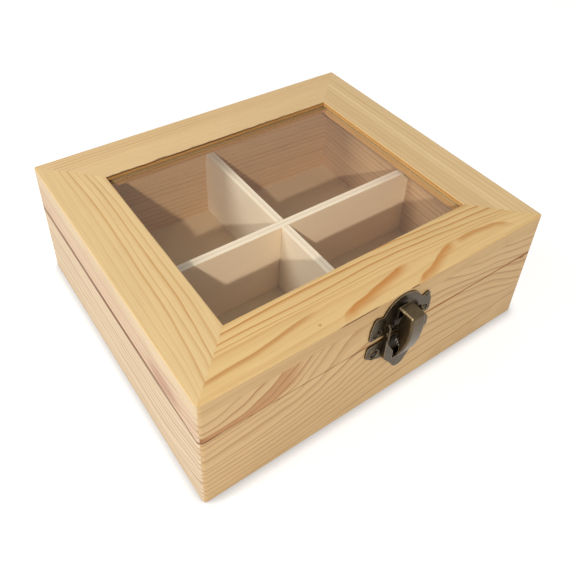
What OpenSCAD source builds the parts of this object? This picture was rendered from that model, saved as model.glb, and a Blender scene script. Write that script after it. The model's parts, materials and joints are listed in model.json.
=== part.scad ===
// Wooden tea bag box: a pine base with four compartments, a framed glass lid,
// a sprung toggle latch in front and two butt hinges behind.
// Millimetres. The origin is the centre of the underside: +X right, +Y to the back, +Z up.

/* [Box] */
// Outside width of the box
box_w = 200; // [160:1:260]
// Outside depth of the box, front to back
box_d = 175; // [140:1:240]
// Height of the base, from the underside to the seam
base_h = 46; // [38:1:80]
// Height of the lid, from the seam to the top
lid_h = 25; // [20:0.5:40]
// Thickness of the side boards of base and lid
wall_t = 9; // [7.5:0.5:14]
// Radius of the upright outer corners
corner_r = 2.5; // [1:0.5:4]
// Radius of the sanded top edges
edge_r = 0.8; // [0.5:0.1:2]
// Radius of the sanded edges along the seam and the foot
seam_r = 0.6; // [0.3:0.1:1.2]

/* [Floor and dividers] */
// Thickness of the plywood floor
floor_t = 3; // [2:0.5:5]
// How far the floor reaches into the boards
rabbet_w = 4.5; // [3:0.5:6]
// Thickness of the dividers
divider_t = 5; // [3:0.5:8]
// How far the dividers stand above the seam
divider_rise = 2.5; // [0:0.5:6]
// Depth of the grooves that hold the ends of the dividers
dado_depth = 2; // [1:0.5:3.5]

/* [Glass lid] */
// Width of the mitred rails round the glass
rail_w = 28.5; // [22:0.5:40]
// Thickness of the mitred rails
rail_t = 8; // [7:0.5:12]
// Wood above the glass groove
lip_t = 2.7; // [2:0.1:4]
// Thickness of the glass
glass_t = 2; // [1.5:0.5:3]
// Depth of the glass groove
groove_depth = 5; // [3:0.5:8]

/* [Latch] */
// Distance of the latch from the middle of the front, to the right
latch_x = 4; // [-30:0.5:30]
// Width of the latch plates over their ears
plate_w = 37; // [34:0.5:46]
// Thickness of the latch plates
plate_t = 1; // [0.8:0.1:1.4]
// Width of the lever
lever_w = 8.4; // [7:0.1:10]
// Thickness of the lever's sheet metal
lever_t = 0.9; // [0.6:0.1:1.1]
// Radius of the lever's pivot pin
lever_pin_r = 0.8; // [0.6:0.05:1]
// Depth of the housing round the lever, from the wood
housing_depth = 4; // [3.6:0.1:5]

/* [Hinges] */
// Distance of each hinge's middle from the middle of the back
hinge_x = 58; // [40:1:65]
// Width of a hinge
hinge_w = 22; // [18:1:30]
// Height of one hinge leaf, from the seam
leaf_h = 10.5; // [9:0.5:14]
// Thickness of a hinge leaf
leaf_t = 0.9; // [0.7:0.1:1.2]
// Radius of a hinge knuckle
knuckle_r = 1.9; // [1.6:0.1:2.4]
// Radius of a hinge pin
hinge_pin_r = 0.85; // [0.6:0.05:1]
// How far the lid opens before its hinges stop it, in degrees
lid_open = 105; // [90:1:120]

/* [Fit] */
// Gap round the floor panel, the dividers and the glass
wood_gap = 0.1; // [0.05:0.05:0.3]
// Radial gap of a turning joint
turn_gap = 0.05; // [0.02:0.01:0.1]
// Gap between metal pieces that pass each other
pass_gap = 0.3; // [0.2:0.05:0.5]

/* [Hidden] */
$fn = 48;
over = 1;                                   // how far a cutter passes a face

FRONT = 0;
RIGHT = 1;
BACK = 2;
LEFT = 3;

PINE = "burlywood";
PLYWOOD = "wheat";
BRONZE = "darkolivegreen";

top_z = base_h + lid_h;
rail_z = top_z - rail_t;
inner_w = box_w - 2 * wall_t;
inner_d = box_d - 2 * wall_t;
floor_reach = rabbet_w - wood_gap;
divider_end = dado_depth - wood_gap;
divider_z = base_h + divider_rise;
lap_z = (floor_t + divider_z) / 2;          // where the two dividers meet in their half laps
slot_w = divider_t + 2 * wood_gap;
groove_z = top_z - lip_t - glass_t - 2 * wood_gap;
glass_reach = groove_depth - 5 * wood_gap;

// Latch, in its own plane: u to the right, v up from the seam, w out from the wood.
dome_r = 11.9;                              // arched head of the catch plate
dome_v = min(12.7, lid_h - 0.4 - dome_r);
catch_v = 3.5;                              // lower edge of the catch plate
shoulder_v = min(15.3, dome_v + 2.6);       // round shoulders of the catch plate
shoulder_r = 2.1;
ear_u = plate_w / 2 - 4.3;                  // nails of both plates
catch_nail_v = catch_v + 3.4;
latch_nail_v = -6.9;
housing_w = 21;
housing_t = 0.9;
housing_foot = -9;                          // where the housing starts to taper
housing_tip_r = 4.3;
housing_tip_v = -17.3;
cheek_top = 12.8;
cheek_in = plate_t + pass_gap;              // inner and outer edge of the housing's cheeks
cheek_out = housing_depth + 0.5;
pin_v = 6.5;
pin_w = (cheek_in + cheek_out) / 2;
hook_v = 19.4;                              // top face of the lever's hook
tail_v = -12;                               // lower end of the lever
keeper_w = 1.9;                             // how far the keeper's ledge stands out
keeper_v = hook_v - lever_t - 0.8;
keeper_half = 3;
toe_w = keeper_w + pass_gap;                // the hook's toe, just in front of the keeper
nose_r = 4.5;
crown_r = 1.8;                              // round upper corners of the lever, from the front
head_w = 10.6;                              // upper and lower ends of the lever's curved back
tail_w = 5.2;
back_r = 47.5;                              // radius of the lever's curved back
bend_r = 1.5;                               // bend between the hook and the back
lobe_r = lever_pin_r + 0.8;                 // ears of the lever round its pin
side_bend_r = 1.2;                          // bend between the lever's back and its sides
notch_gap = 0.6;
spring_v = -5;
spring_r = 2.2;
wire_r = 0.25;
spring_turns = 4.25;
spring_rings = 8;                           // rings for each turn
wire_sides = 6;

// Nails
shank_r = 0.65;
nail_len = 7;
nail_hole_r = shank_r + turn_gap;
nail_head_r = 1.7;
seat_r = 2.5;                               // sunk seat round a latch nail
seat_depth = 0.6;
ring_r = 0.35;                              // raised ring round a housing nail
hinge_nail_u = hinge_w / 2 - 3.6;
hinge_nail_v = leaf_h - 3.4;
hinge_head_r = 1.5;
hinge_nail_len = 6;

// Hinge
axis_w = knuckle_r + pass_gap;              // distance of the hinge axis from the wood
leaf_gap = knuckle_r + 2 * pass_gap;        // leaf edge beside the other leaf's knuckle
knuckle_half = hinge_w / 6;
lug_t = 0.9;
lug_reach = knuckle_r + 1.25;

function unit(v) = v / norm(v);

// ---------- woodwork ----------

// Round-cornered outline of the whole box, used to round the upright corners.
module footprint(z0, z1) {
    translate([0, 0, z0]) linear_extrude(z1 - z0) {
        square([box_w - 2 * corner_r, box_d], center = true);
        square([box_w, box_d - 2 * corner_r], center = true);
        for (x = [-1, 1], y = [-1, 1])
            translate([x * (box_w / 2 - corner_r), y * (box_d / 2 - corner_r)]) circle(corner_r);
    }
}

function side_length(side) = side % 2 == 0 ? box_w : box_d;

// Puts a piece that lies along X with its outer face at y = 0 on one side of the box.
module on_side(side) {
    rotate([0, 0, 90 * side])
        translate([0, -(side % 2 == 0 ? box_d : box_w) / 2, 0]) children();
}

// Removes the sharp edge that runs along X at y = 0, above or below.
module edge_cutter(len, r, up) {
    difference() {
        translate([-len / 2 - over, -over, up ? -r : -over])
            cube([len + 2 * over, r + over, r + over]);
        translate([-len / 2 - 2 * over, r, up ? -r : r])
            rotate([0, 90, 0]) cylinder(h = len + 4 * over, r = r);
    }
}

module mitre_outline(len, width) {
    polygon([[-len / 2, 0], [len / 2, 0], [len / 2 - width, width], [-len / 2 + width, width]]);
}

// Side board with mitred ends: outer face at y = 0, underside at z = 0.
module side_board(len, height, round_top) {
    difference() {
        linear_extrude(height) mitre_outline(len, wall_t);
        edge_cutter(len, seam_r, false);
        if (round_top) translate([0, 0, height]) edge_cutter(len, seam_r, true);
    }
}

// Base board: rabbet for the floor, groove for the end of a divider.
module base_board(side) {
    len = side_length(side);
    color(PINE) difference() {
        intersection() {
            on_side(side) difference() {
                side_board(len, base_h, true);
                translate([-len / 2, wall_t - rabbet_w, -over]) cube([len, rabbet_w + over, floor_t + over]);
                translate([-slot_w / 2, wall_t - dado_depth, floor_t])
                    cube([slot_w, dado_depth + over, base_h]);
            }
            footprint(0, base_h);
        }
        nail_holes();
    }
}

module lid_board(side) {
    color(PINE) difference() {
        intersection() {
            on_side(side) translate([0, 0, base_h]) side_board(side_length(side), lid_h - rail_t, false);
            footprint(base_h, rail_z);
        }
        nail_holes();
    }
}

// Rail of the glass frame, with the groove for the glass along its inner edge.
module rail(side) {
    len = side_length(side);
    color(PINE) intersection() {
        on_side(side) translate([0, 0, rail_z]) difference() {
            linear_extrude(rail_t) mitre_outline(len, rail_w);
            translate([0, 0, rail_t]) edge_cutter(len, edge_r, true);
            translate([0, rail_w, rail_t]) mirror([0, 1, 0]) edge_cutter(len, seam_r, true);
            translate([-len / 2, rail_w - groove_depth, groove_z - rail_z])
                cube([len, groove_depth + over, glass_t + 2 * wood_gap]);
        }
        footprint(rail_z, top_z);
    }
}

module floor_panel() {
    w = inner_w + 2 * floor_reach;
    d = inner_d + 2 * floor_reach;
    color(PLYWOOD) translate([-w / 2, -d / 2, 0]) cube([w, d, floor_t]);
}

// Divider along X: its ends stand in the grooves of the boards and step back above the seam.
module divider_board(inner) {
    long = inner / 2 + divider_end;
    short = inner / 2 - 5 * wood_gap;
    rotate([90, 0, 0]) linear_extrude(divider_t, center = true)
        polygon([
            [-long, floor_t], [long, floor_t], [long, base_h - wood_gap], [short, base_h - wood_gap],
            [short, divider_z], [-short, divider_z], [-short, base_h - wood_gap],
            [-long, base_h - wood_gap]
        ]);
}

module divider_long() {
    color(PLYWOOD) difference() {
        divider_board(inner_w);
        translate([-slot_w / 2, -divider_t, floor_t - over])
            cube([slot_w, 2 * divider_t, lap_z - floor_t + over]);
    }
}

module divider_short() {
    color(PLYWOOD) rotate([0, 0, 90]) difference() {
        divider_board(inner_d);
        translate([-slot_w / 2, -divider_t, lap_z]) cube([slot_w, 2 * divider_t, divider_z]);
    }
}

module glass_pane() {
    w = box_w - 2 * rail_w + 2 * glass_reach;
    d = box_d - 2 * rail_w + 2 * glass_reach;
    color("lightcyan", 0.4) translate([-w / 2, -d / 2, groove_z]) cube([w, d, glass_t]);
}

// ---------- places of the metalwork ----------

// Latch plane: local x is u, local y is v and local z is w.
module at_latch() {
    translate([latch_x, -box_d / 2, base_h]) rotate([90, 0, 0]) children();
}

// Hinge plane, seen from behind; side is -1 for the left hinge and 1 for the right.
module at_hinge(side) {
    translate([side * hinge_x, box_d / 2, base_h]) rotate([90, 0, 180]) children();
}

// Extrudes an outline drawn in (w, v) across the latch or hinge, from u0 to u1.
module across(u0, u1) {
    translate([u1, 0, 0]) rotate([0, -90, 0]) linear_extrude(u1 - u0) children();
}

module at_catch_nails() {
    at_latch() for (s = [-1, 1]) translate([s * ear_u, catch_nail_v, 0]) children();
}

module at_latch_nails() {
    at_latch() for (s = [-1, 1]) translate([s * ear_u, latch_nail_v, 0]) children();
}

module at_hinge_nails(up) {
    for (side = [-1, 1]) at_hinge(side)
        for (s = [-1, 1]) translate([s * hinge_nail_u, up * hinge_nail_v, 0]) children();
}

// Round-headed nail: seat is the height of the underside of its head above the wood.
module nail(seat, head_r, len) {
    head_h = 0.45 * head_r;
    rotate_extrude() polygon([
        [0, seat - len], [shank_r, seat - len + 1.5], [shank_r, seat], [head_r, seat],
        [head_r, seat + 0.4 * head_h], [0.75 * head_r, seat + 0.8 * head_h],
        [0.4 * head_r, seat + 0.97 * head_h], [0, seat + head_h]
    ]);
}

module nail_hole(depth) {
    translate([0, 0, -depth]) cylinder(h = depth + over, r = nail_hole_r);
}

module nail_holes() {
    latch_depth = nail_len - plate_t + seat_depth + 0.2;
    at_catch_nails() nail_hole(latch_depth);
    at_latch_nails() nail_hole(latch_depth);
    for (up = [-1, 1]) at_hinge_nails(up) nail_hole(hinge_nail_len - leaf_t + 0.2);
}

// ---------- latch ----------

// Sunk seat and hole for a latch nail.
module nail_seat() {
    translate([0, 0, -over]) cylinder(h = plate_t + 2 * over, r = nail_hole_r);
    translate([0, 0, plate_t - seat_depth]) cylinder(h = seat_depth + over, r = seat_r);
}

// Ring pressed up round the seat of a latch nail.
module nail_ring() {
    rotate_extrude() translate([seat_r + 2 * ring_r, 0]) intersection() {
        circle(ring_r);
        translate([-ring_r, -ring_r / 2]) square([2 * ring_r, 2 * ring_r]);
    }
}

module catch_outline() {
    half = plate_w / 2;
    translate([0, dome_v]) circle(dome_r);
    polygon([
        [-half + 1.5, catch_v], [half - 1.5, catch_v], [half, catch_v + 1.5],
        [half - 0.1, shoulder_v - 4.3], [half - 1.65, shoulder_v + 0.4],
        [half - 3.5, shoulder_v + 1.2], [-half + 3.5, shoulder_v + 1.2],
        [-half + 1.65, shoulder_v + 0.4], [-half + 0.1, shoulder_v - 4.3], [-half, catch_v + 1.5]
    ]);
    for (s = [-1, 1]) {
        translate([s * (half - 3.5), shoulder_v]) circle(shoulder_r);
        translate([s * (half - 1.5), catch_v + 1.5]) circle(1.5);
    }
}

// Keeper: a ramp pressed out of the catch plate, with the ledge that the lever hooks over.
module keeper() {
    across(-keeper_half, keeper_half)
        polygon([
            [plate_t / 2, keeper_v - 8.6], [plate_t, keeper_v - 8.6], [keeper_w, keeper_v - 0.8],
            [keeper_w, keeper_v], [plate_t / 2, keeper_v]
        ]);
}

module catch_plate() {
    color(BRONZE) at_latch() difference() {
        union() {
            linear_extrude(plate_t) intersection() {
                catch_outline();
                translate([-plate_w / 2, catch_v]) square([plate_w, lid_h]);
            }
            keeper();
            for (s = [-1, 1]) translate([s * (plate_w / 2 - 3.5), shoulder_v, plate_t])
                cylinder(h = 0.35, r1 = 0.95, r2 = 0.6);
        }
        for (s = [-1, 1]) translate([s * ear_u, catch_nail_v, 0]) nail_seat();
    }
}

// Tapering outline of the housing below the seam, drawn in by inset on every side.
module housing_outline(inset, top) {
    half = housing_w / 2 - inset;
    tip = housing_tip_r - inset;
    polygon([
        [-half, top], [half, top], [half, housing_foot], [half - 0.9, housing_foot - 2.4],
        [half - 3.6, housing_foot - 5.6], [0.93 * tip, housing_tip_v - 0.3 * tip],
        [-0.93 * tip, housing_tip_v - 0.3 * tip], [-half + 3.6, housing_foot - 5.6],
        [-half + 0.9, housing_foot - 2.4], [-half, housing_foot]
    ]);
    translate([0, housing_tip_v]) circle(tip);
}

// Outline of the plate under the housing, with an ear on each side.
module latch_plate_outline() {
    half = plate_w / 2 + 0.8;
    top = -0.3;
    polygon([
        [-half + 2.2, top], [half - 2.2, top], [half - 0.25, top - 1.7], [half, top - 6.3],
        [half - 1, top - 7.9], [half - 5, top - 10.6], [half - 9, top - 12.4],
        [-half + 9, top - 12.4], [-half + 5, top - 10.6], [-half + 1, top - 7.9],
        [-half, top - 6.3], [-half + 0.25, top - 1.7]
    ]);
    for (s = [-1, 1]) {
        translate([s * (half - 2.2), top - 2]) circle(2);
        translate([s * (half - 1.5), top - 6.5]) circle(1.5);
    }
    housing_outline(0, top);
}

// Cheek of the housing: carries the pin and stands clear of the catch plate above the seam.
module cheek_outline() {
    top_r = (cheek_out - cheek_in) / 2;
    difference() {
        union() {
            polygon([
                [plate_t / 2, housing_foot], [housing_depth, housing_foot], [housing_depth, 2],
                [cheek_out, 4], [cheek_out, cheek_top - top_r], [cheek_in, cheek_top - top_r],
                [cheek_in, 2.6], [plate_t / 2, -0.3]
            ]);
            translate([pin_w, cheek_top - top_r]) circle(top_r);
        }
        translate([pin_w, pin_v]) circle(lever_pin_r);
    }
}

// Front wall of the housing, with the V notch that the lever stands in.
module front_wall_outline() {
    half = housing_w / 2;
    notch = lever_w / 2 + notch_gap;
    difference() {
        housing_outline(0, 2);
        polygon([
            [-half + housing_t, 2 + over], [-half + housing_t, -0.3], [-notch, -8],
            [-notch, tail_v - 1.4], [notch, tail_v - 1.4], [notch, -8],
            [half - housing_t, -0.3], [half - housing_t, 2 + over]
        ]);
    }
}

module latch_housing() {
    half = housing_w / 2;
    color(BRONZE) at_latch() difference() {
        union() {
            linear_extrude(plate_t) latch_plate_outline();
            difference() {
                linear_extrude(housing_depth) housing_outline(0, housing_foot + 2);
                translate([0, 0, plate_t])
                    linear_extrude(housing_depth) housing_outline(housing_t, housing_foot + 3);
            }
            translate([0, 0, housing_depth - housing_t]) linear_extrude(housing_t) front_wall_outline();
            for (s = [-1, 1]) {
                across(s > 0 ? half - housing_t : -half, s > 0 ? half : -half + housing_t) cheek_outline();
                translate([s * ear_u, latch_nail_v, plate_t]) nail_ring();
            }
        }
        for (s = [-1, 1]) translate([s * ear_u, latch_nail_v, 0]) nail_seat();
    }
}

// Centre of the lever's curved back, from its two ends and its radius.
function back_centre() =
    let (a = [head_w, hook_v - 0.4], b = [tail_w, tail_v], chord = a - b, mid = (a + b) / 2)
    let (off = sqrt(back_r * back_r - chord * chord / 4), dir = [chord[1], -chord[0]] / norm(chord))
    mid - dir * off;

// Solid side outline of the lever, drawn in by inset; the bend has the hook's own radius.
module lever_side(inset) {
    c = back_centre();
    r = back_r - inset;
    top = hook_v - inset;
    bend = bend_r - inset;
    bend_v = top - bend;
    bend_w = c[0] + sqrt(pow(r - bend, 2) - pow(bend_v - c[1], 2));
    touch_v = c[1] + (bend_v - c[1]) * r / (r - bend);
    intersection() {
        translate(c) circle(r, $fn = 360);
        translate([-over, tail_v - inset * over]) square([3 * head_w, touch_v - tail_v + inset * over]);
    }
    translate([-over, bend_v]) square([bend_w + over, bend]);
    translate([bend_w, bend_v]) circle(bend);
}

// Side ear of the lever, which reaches back to the pin.
module lever_ear() {
    difference() {
        union() {
            intersection() {
                lever_side(0);
                polygon([
                    [toe_w + 3.8, hook_v + over], [3 * head_w, hook_v + over], [3 * head_w, -9.5],
                    [5.2, -9.5], [6.4, -5.5], [6.1, -2], [pin_w + 1.6, 1.5], [pin_w + 0.2, pin_v - lobe_r],
                    [pin_w, pin_v], [pin_w, pin_v + lobe_r], [toe_w + 1.6, 12.5], [toe_w + 2.6, 16]
                ]);
            }
            translate([pin_w, pin_v]) circle(lobe_r);
        }
        translate([pin_w, pin_v]) circle(lever_pin_r + turn_gap);
    }
}

// Solid of revolution about the middle of the curved back: rounds the edges along the lever.
module lever_round() {
    half = lever_w / 2;
    r = side_bend_r;
    translate([0, back_centre()[1], back_centre()[0]]) rotate([0, 90, 0]) rotate_extrude($fn = 360) {
        translate([0, -half]) square([back_r - r, 2 * half]);
        translate([0, r - half]) square([back_r, 2 * half - 2 * r]);
        for (s = [-1, 1]) translate([back_r - r, s * (half - r)]) circle(r, $fn = 32);
    }
}

// Cutter that rounds one upper corner of the lever, from the front. Its arc stops just short of
// tangent to the lever's faces.
module crown_cutter() {
    translate([lever_w / 2 - 0.96 * crown_r, hook_v - 0.96 * crown_r, -over])
        linear_extrude(3 * head_w) difference() {
            square(crown_r + over);
            circle(crown_r);
        }
}

// Bent sheet of the lever, with its ears and the round toe of the hook.
module lever_shell() {
    half = lever_w / 2;
    intersection() {
        lever_round();
        union() {
            across(-half, half) intersection() {
                difference() {
                    lever_side(0);
                    translate([-over, -over]) lever_side(lever_t);
                    lever_side(lever_t);
                }
                translate([toe_w, tail_v]) square([3 * head_w, hook_v - tail_v]);
            }
            across(-half, -half + lever_t) lever_ear();
            across(half - lever_t, half) lever_ear();
        }
        // round ends, seen from the front
        linear_extrude(3 * head_w) {
            translate([-half, tail_v + half]) square([lever_w, hook_v - tail_v]);
            translate([0, tail_v + half]) circle(half);
        }
        // round toe of the hook, seen from above
        rotate([-90, 0, 0]) translate([0, 0, tail_v - over]) linear_extrude(hook_v - tail_v + 2 * over) {
            translate([0, -toe_w - nose_r]) circle(nose_r);
            translate([-half, -3 * head_w]) square([lever_w, 3 * head_w - toe_w - nose_r]);
            translate([-half, -toe_w - nose_r]) square([lever_w, nose_r + toe_w]);
        }
    }
}

module latch_lever() {
    color(BRONZE) at_latch() difference() {
        lever_shell();
        crown_cutter();
        mirror([1, 0, 0]) crown_cutter();
    }
}

module latch_pin() {
    half = housing_w / 2;
    color(BRONZE) at_latch() translate([0, pin_v, pin_w]) rotate([0, 90, 0]) {
        translate([0, 0, -half]) cylinder(h = housing_w, r = lever_pin_r);
        for (s = [0, 1]) mirror([0, 0, s]) translate([0, 0, half]) cylinder(h = 0.5, r1 = 1.3, r2 = 0.9);
    }
}

// Wire of the latch spring: straight ends, and a helix whose axis points out from the wood.
spring_foot = plate_t + 2 * wire_r;
spring_head = 6.2;
spring_end_w = back_centre()[0]
    + sqrt(pow(back_r - lever_t, 2) - pow(spring_v + spring_r - back_centre()[1], 2)) - 0.1;
spring_steps = round(spring_turns * spring_rings);

function spring_angle(i) = 360 * i / spring_rings;
function spring_point(i) =
    [spring_r * cos(spring_angle(i)), spring_r * sin(spring_angle(i)),
     spring_foot + (spring_head - spring_foot) * i / spring_steps];

spring_path = concat(
    [[spring_r, 0, plate_t + 0.02]],
    [for (i = [0 : spring_steps]) spring_point(i)],
    [[spring_point(spring_steps)[0], spring_point(spring_steps)[1], spring_end_w]]
);
spring_count = len(spring_path);

function spring_tangent(i) =
    unit(spring_path[min(i + 1, spring_count - 1)] - spring_path[max(i - 1, 0)]);
function spring_radial(i) = unit([spring_path[i][0], spring_path[i][1], 0]);
function spring_ring(i) =
    let (out = spring_radial(i), along = spring_tangent(i), side = unit(cross(along, out)))
    [for (k = [0 : wire_sides - 1])
        spring_path[i] + wire_r * (cos(360 * k / wire_sides) * out + sin(360 * k / wire_sides) * side)];

spring_gap = min([for (i = [1 : spring_count - 2], j = [i + 1 : 1 : spring_count - 2])
    if (j - i > spring_rings / 2) norm(spring_path[i] - spring_path[j])]) - 2 * wire_r;
echo(least_gap_between_spring_turns = spring_gap);

module latch_spring() {
    points = [for (i = [0 : spring_count - 1]) each spring_ring(i)];
    last = (spring_count - 1) * wire_sides;
    walls = [for (i = [0 : spring_count - 2], k = [0 : wire_sides - 1])
        let (a = i * wire_sides + k, b = i * wire_sides + (k + 1) % wire_sides)
        each [[a, b, b + wire_sides], [a, b + wire_sides, a + wire_sides]]];
    foot = [for (k = [1 : wire_sides - 2]) [0, k + 1, k]];
    head = [for (k = [1 : wire_sides - 2]) [last, last + k, last + k + 1]];
    color("silver") at_latch() translate([0, spring_v, 0])
        polyhedron(points = points, faces = concat(walls, foot, head));
}

// ---------- hinges ----------

// Leaf with its holes; up is 1 for the lid's leaf and -1 for the base's.
module leaf_plate(up) {
    half = hinge_w / 2;
    difference() {
        linear_extrude(leaf_t) mirror([0, up > 0 ? 0 : 1]) {
            translate([-half, leaf_gap]) square([hinge_w, leaf_h - leaf_gap - 1]);
            translate([-half + 1, leaf_gap]) square([hinge_w - 2, leaf_h - leaf_gap]);
            for (s = [-1, 1]) translate([s * (half - 1), leaf_h - 1]) circle(1);
        }
        for (s = [-1, 1]) translate([s * hinge_nail_u, up * hinge_nail_v, -over])
            cylinder(h = leaf_t + 2 * over, r = nail_hole_r);
    }
}

// Knuckle from u0 to u1, joined to its leaf.
module knuckle(u0, u1, up, bore_r) {
    across(u0, u1) difference() {
        union() {
            translate([axis_w, 0]) circle(knuckle_r);
            translate([0, up > 0 ? 0 : -leaf_gap - 1]) square([leaf_t, leaf_gap + 1]);
        }
        translate([axis_w, 0]) circle(bore_r);
    }
}

// Stop lug on the lid's knuckle: its tip meets the base leaf's face when the lid is fully open.
lug_tip_r = norm([lug_reach, lug_t / 2]);
lug_angle = lid_open - acos((leaf_t - axis_w + 0.03) / lug_tip_r) + atan(lug_t / 2 / lug_reach);

module stop_lug(u0, u1) {
    across(u0, u1) translate([axis_w, 0]) rotate(lug_angle)
        translate([hinge_pin_r + 0.4, -lug_t / 2]) square([lug_reach - hinge_pin_r - 0.4, lug_t]);
}

module base_leaf(side) {
    color(BRONZE) at_hinge(side) {
        leaf_plate(-1);
        knuckle(-knuckle_half, knuckle_half, -1, hinge_pin_r);
    }
}

module lid_leaf(side) {
    half = hinge_w / 2;
    gap = knuckle_half + pass_gap;
    color(BRONZE) at_hinge(side) {
        leaf_plate(1);
        for (u = [[-half, -gap], [gap, half]]) {
            knuckle(u[0], u[1], 1, hinge_pin_r + turn_gap);
            stop_lug(u[0] + 1, u[1] - 1);
        }
    }
}

module hinge_pin(side) {
    half = hinge_w / 2;
    color(BRONZE) at_hinge(side) translate([0, 0, axis_w]) rotate([0, 90, 0]) {
        translate([0, 0, -half - 0.1]) cylinder(h = hinge_w + 0.2, r = hinge_pin_r);
        for (s = [0, 1]) mirror([0, 0, s]) translate([0, 0, half + 0.1])
            cylinder(h = 0.6, r1 = hinge_pin_r + 0.5, r2 = hinge_pin_r);
    }
}

// ---------- nails ----------

module catch_nails() {
    color(BRONZE) at_catch_nails() nail(plate_t - seat_depth, nail_head_r, nail_len);
}

module latch_nails() {
    color(BRONZE) at_latch_nails() nail(plate_t - seat_depth, nail_head_r, nail_len);
}

module hinge_nails(up) {
    color(BRONZE) at_hinge_nails(up) nail(leaf_t, hinge_head_r, hinge_nail_len);
}

// ---------- the pieces ----------

base_board(FRONT);  // base_front
base_board(RIGHT);  // base_right
base_board(BACK);  // base_back
base_board(LEFT);  // base_left
floor_panel();
divider_long();
divider_short();
lid_board(FRONT);  // lid_front
lid_board(RIGHT);  // lid_right
lid_board(BACK);  // lid_back
lid_board(LEFT);  // lid_left
rail(FRONT);  // rail_front
rail(RIGHT);  // rail_right
rail(BACK);  // rail_back
rail(LEFT);  // rail_left
glass_pane();
catch_plate();
catch_nails();
latch_housing();
latch_nails();
latch_lever();
latch_pin();
latch_spring();
base_leaf(-1);  // hinge_left_base_leaf
lid_leaf(-1);  // hinge_left_lid_leaf
hinge_pin(-1);  // hinge_left_pin
base_leaf(1);  // hinge_right_base_leaf
lid_leaf(1);  // hinge_right_lid_leaf
hinge_pin(1);  // hinge_right_pin
hinge_nails(-1);  // hinge_base_nails
hinge_nails(1);  // hinge_lid_nails
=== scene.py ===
"""Wooden tea bag box: pine, plywood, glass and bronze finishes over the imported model."""

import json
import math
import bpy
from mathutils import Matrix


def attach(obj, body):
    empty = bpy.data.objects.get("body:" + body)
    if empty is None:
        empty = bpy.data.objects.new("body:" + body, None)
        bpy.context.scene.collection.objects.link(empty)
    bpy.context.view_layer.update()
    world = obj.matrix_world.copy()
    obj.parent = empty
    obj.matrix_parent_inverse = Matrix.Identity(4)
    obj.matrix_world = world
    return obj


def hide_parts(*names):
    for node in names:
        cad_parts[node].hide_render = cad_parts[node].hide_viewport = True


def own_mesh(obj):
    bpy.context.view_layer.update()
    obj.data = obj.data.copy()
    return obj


bl_info = {
    "name": "Tea bag box",
    "version": (1, 0, 0),
    "blender": (4, 5, 0),
    "location": "3D View > Sidebar > Tea Box",
    "description": "Finishes a pine tea bag box with a glass lid and a bronze latch",
    "category": "Object",
}

import bmesh
import bpy
from bpy.props import FloatProperty, FloatVectorProperty, PointerProperty
from bpy.types import Operator, Panel, PropertyGroup
from mathutils import Matrix, Vector

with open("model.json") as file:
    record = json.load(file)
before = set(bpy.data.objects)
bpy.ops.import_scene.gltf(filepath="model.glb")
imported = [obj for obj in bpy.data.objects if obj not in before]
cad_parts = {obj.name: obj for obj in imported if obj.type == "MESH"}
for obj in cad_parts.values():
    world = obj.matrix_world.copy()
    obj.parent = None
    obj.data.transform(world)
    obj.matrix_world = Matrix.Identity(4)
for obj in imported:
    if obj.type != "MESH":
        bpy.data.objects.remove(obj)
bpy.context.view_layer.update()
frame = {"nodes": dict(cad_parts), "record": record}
BODIES = frame["record"]["behaviour"]["bodies"]
BODY_OF = {node: body for body, nodes in BODIES.items() for node in nodes}

MM = 1000.0  # shader patterns are written in millimetres

# the box's outer faces, its seam and the lid's top, in millimetres
HALF_WIDTH = 100.0
HALF_DEPTH = 87.5
SEAM = 46.0
TOP = 71.0


# ---------- shader maths ----------


def linear(r, g, b):
    """Colour as it looks on screen, 0 to 255, to the linear values that a shader takes."""
    parts = [c / 255.0 for c in (r, g, b)]
    return tuple(c / 12.92 if c <= 0.04045 else ((c + 0.055) / 1.055) ** 2.4 for c in parts) + (1.0,)


class Sock:
    """A number in a node tree; arithmetic on it adds Math nodes."""

    def __init__(self, shader, socket):
        self.shader = shader
        self.socket = socket

    def math(self, operation, *others):
        values = {i: value for i, value in enumerate((self,) + others)}
        return self.shader.node("ShaderNodeMath", {"operation": operation}, values)

    def __add__(self, other):
        return self.math("ADD", other)

    __radd__ = __add__

    def __mul__(self, other):
        return self.math("MULTIPLY", other)

    __rmul__ = __mul__

    def __sub__(self, other):
        return self.math("SUBTRACT", other)

    def __rsub__(self, other):
        return self.shader.node("ShaderNodeMath", {"operation": "SUBTRACT"}, {0: other, 1: self})

    def __truediv__(self, other):
        return self.math("DIVIDE", other)

    def smooth(self, low, high):
        """0 below low, 1 above high, and a smooth step between."""
        settings = {"interpolation_type": "SMOOTHSTEP"}
        values = {"Value": self, "From Min": low, "From Max": high}
        return self.shader.node("ShaderNodeMapRange", settings, values)

    def clamped(self):
        return self.shader.node("ShaderNodeClamp", {}, {"Value": self})

    def bump(self, centre, half):
        """1 at centre, falling smoothly to 0 at half the width away."""
        return 1.0 - (self - centre).math("ABSOLUTE").smooth(0.0, half)


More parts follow.
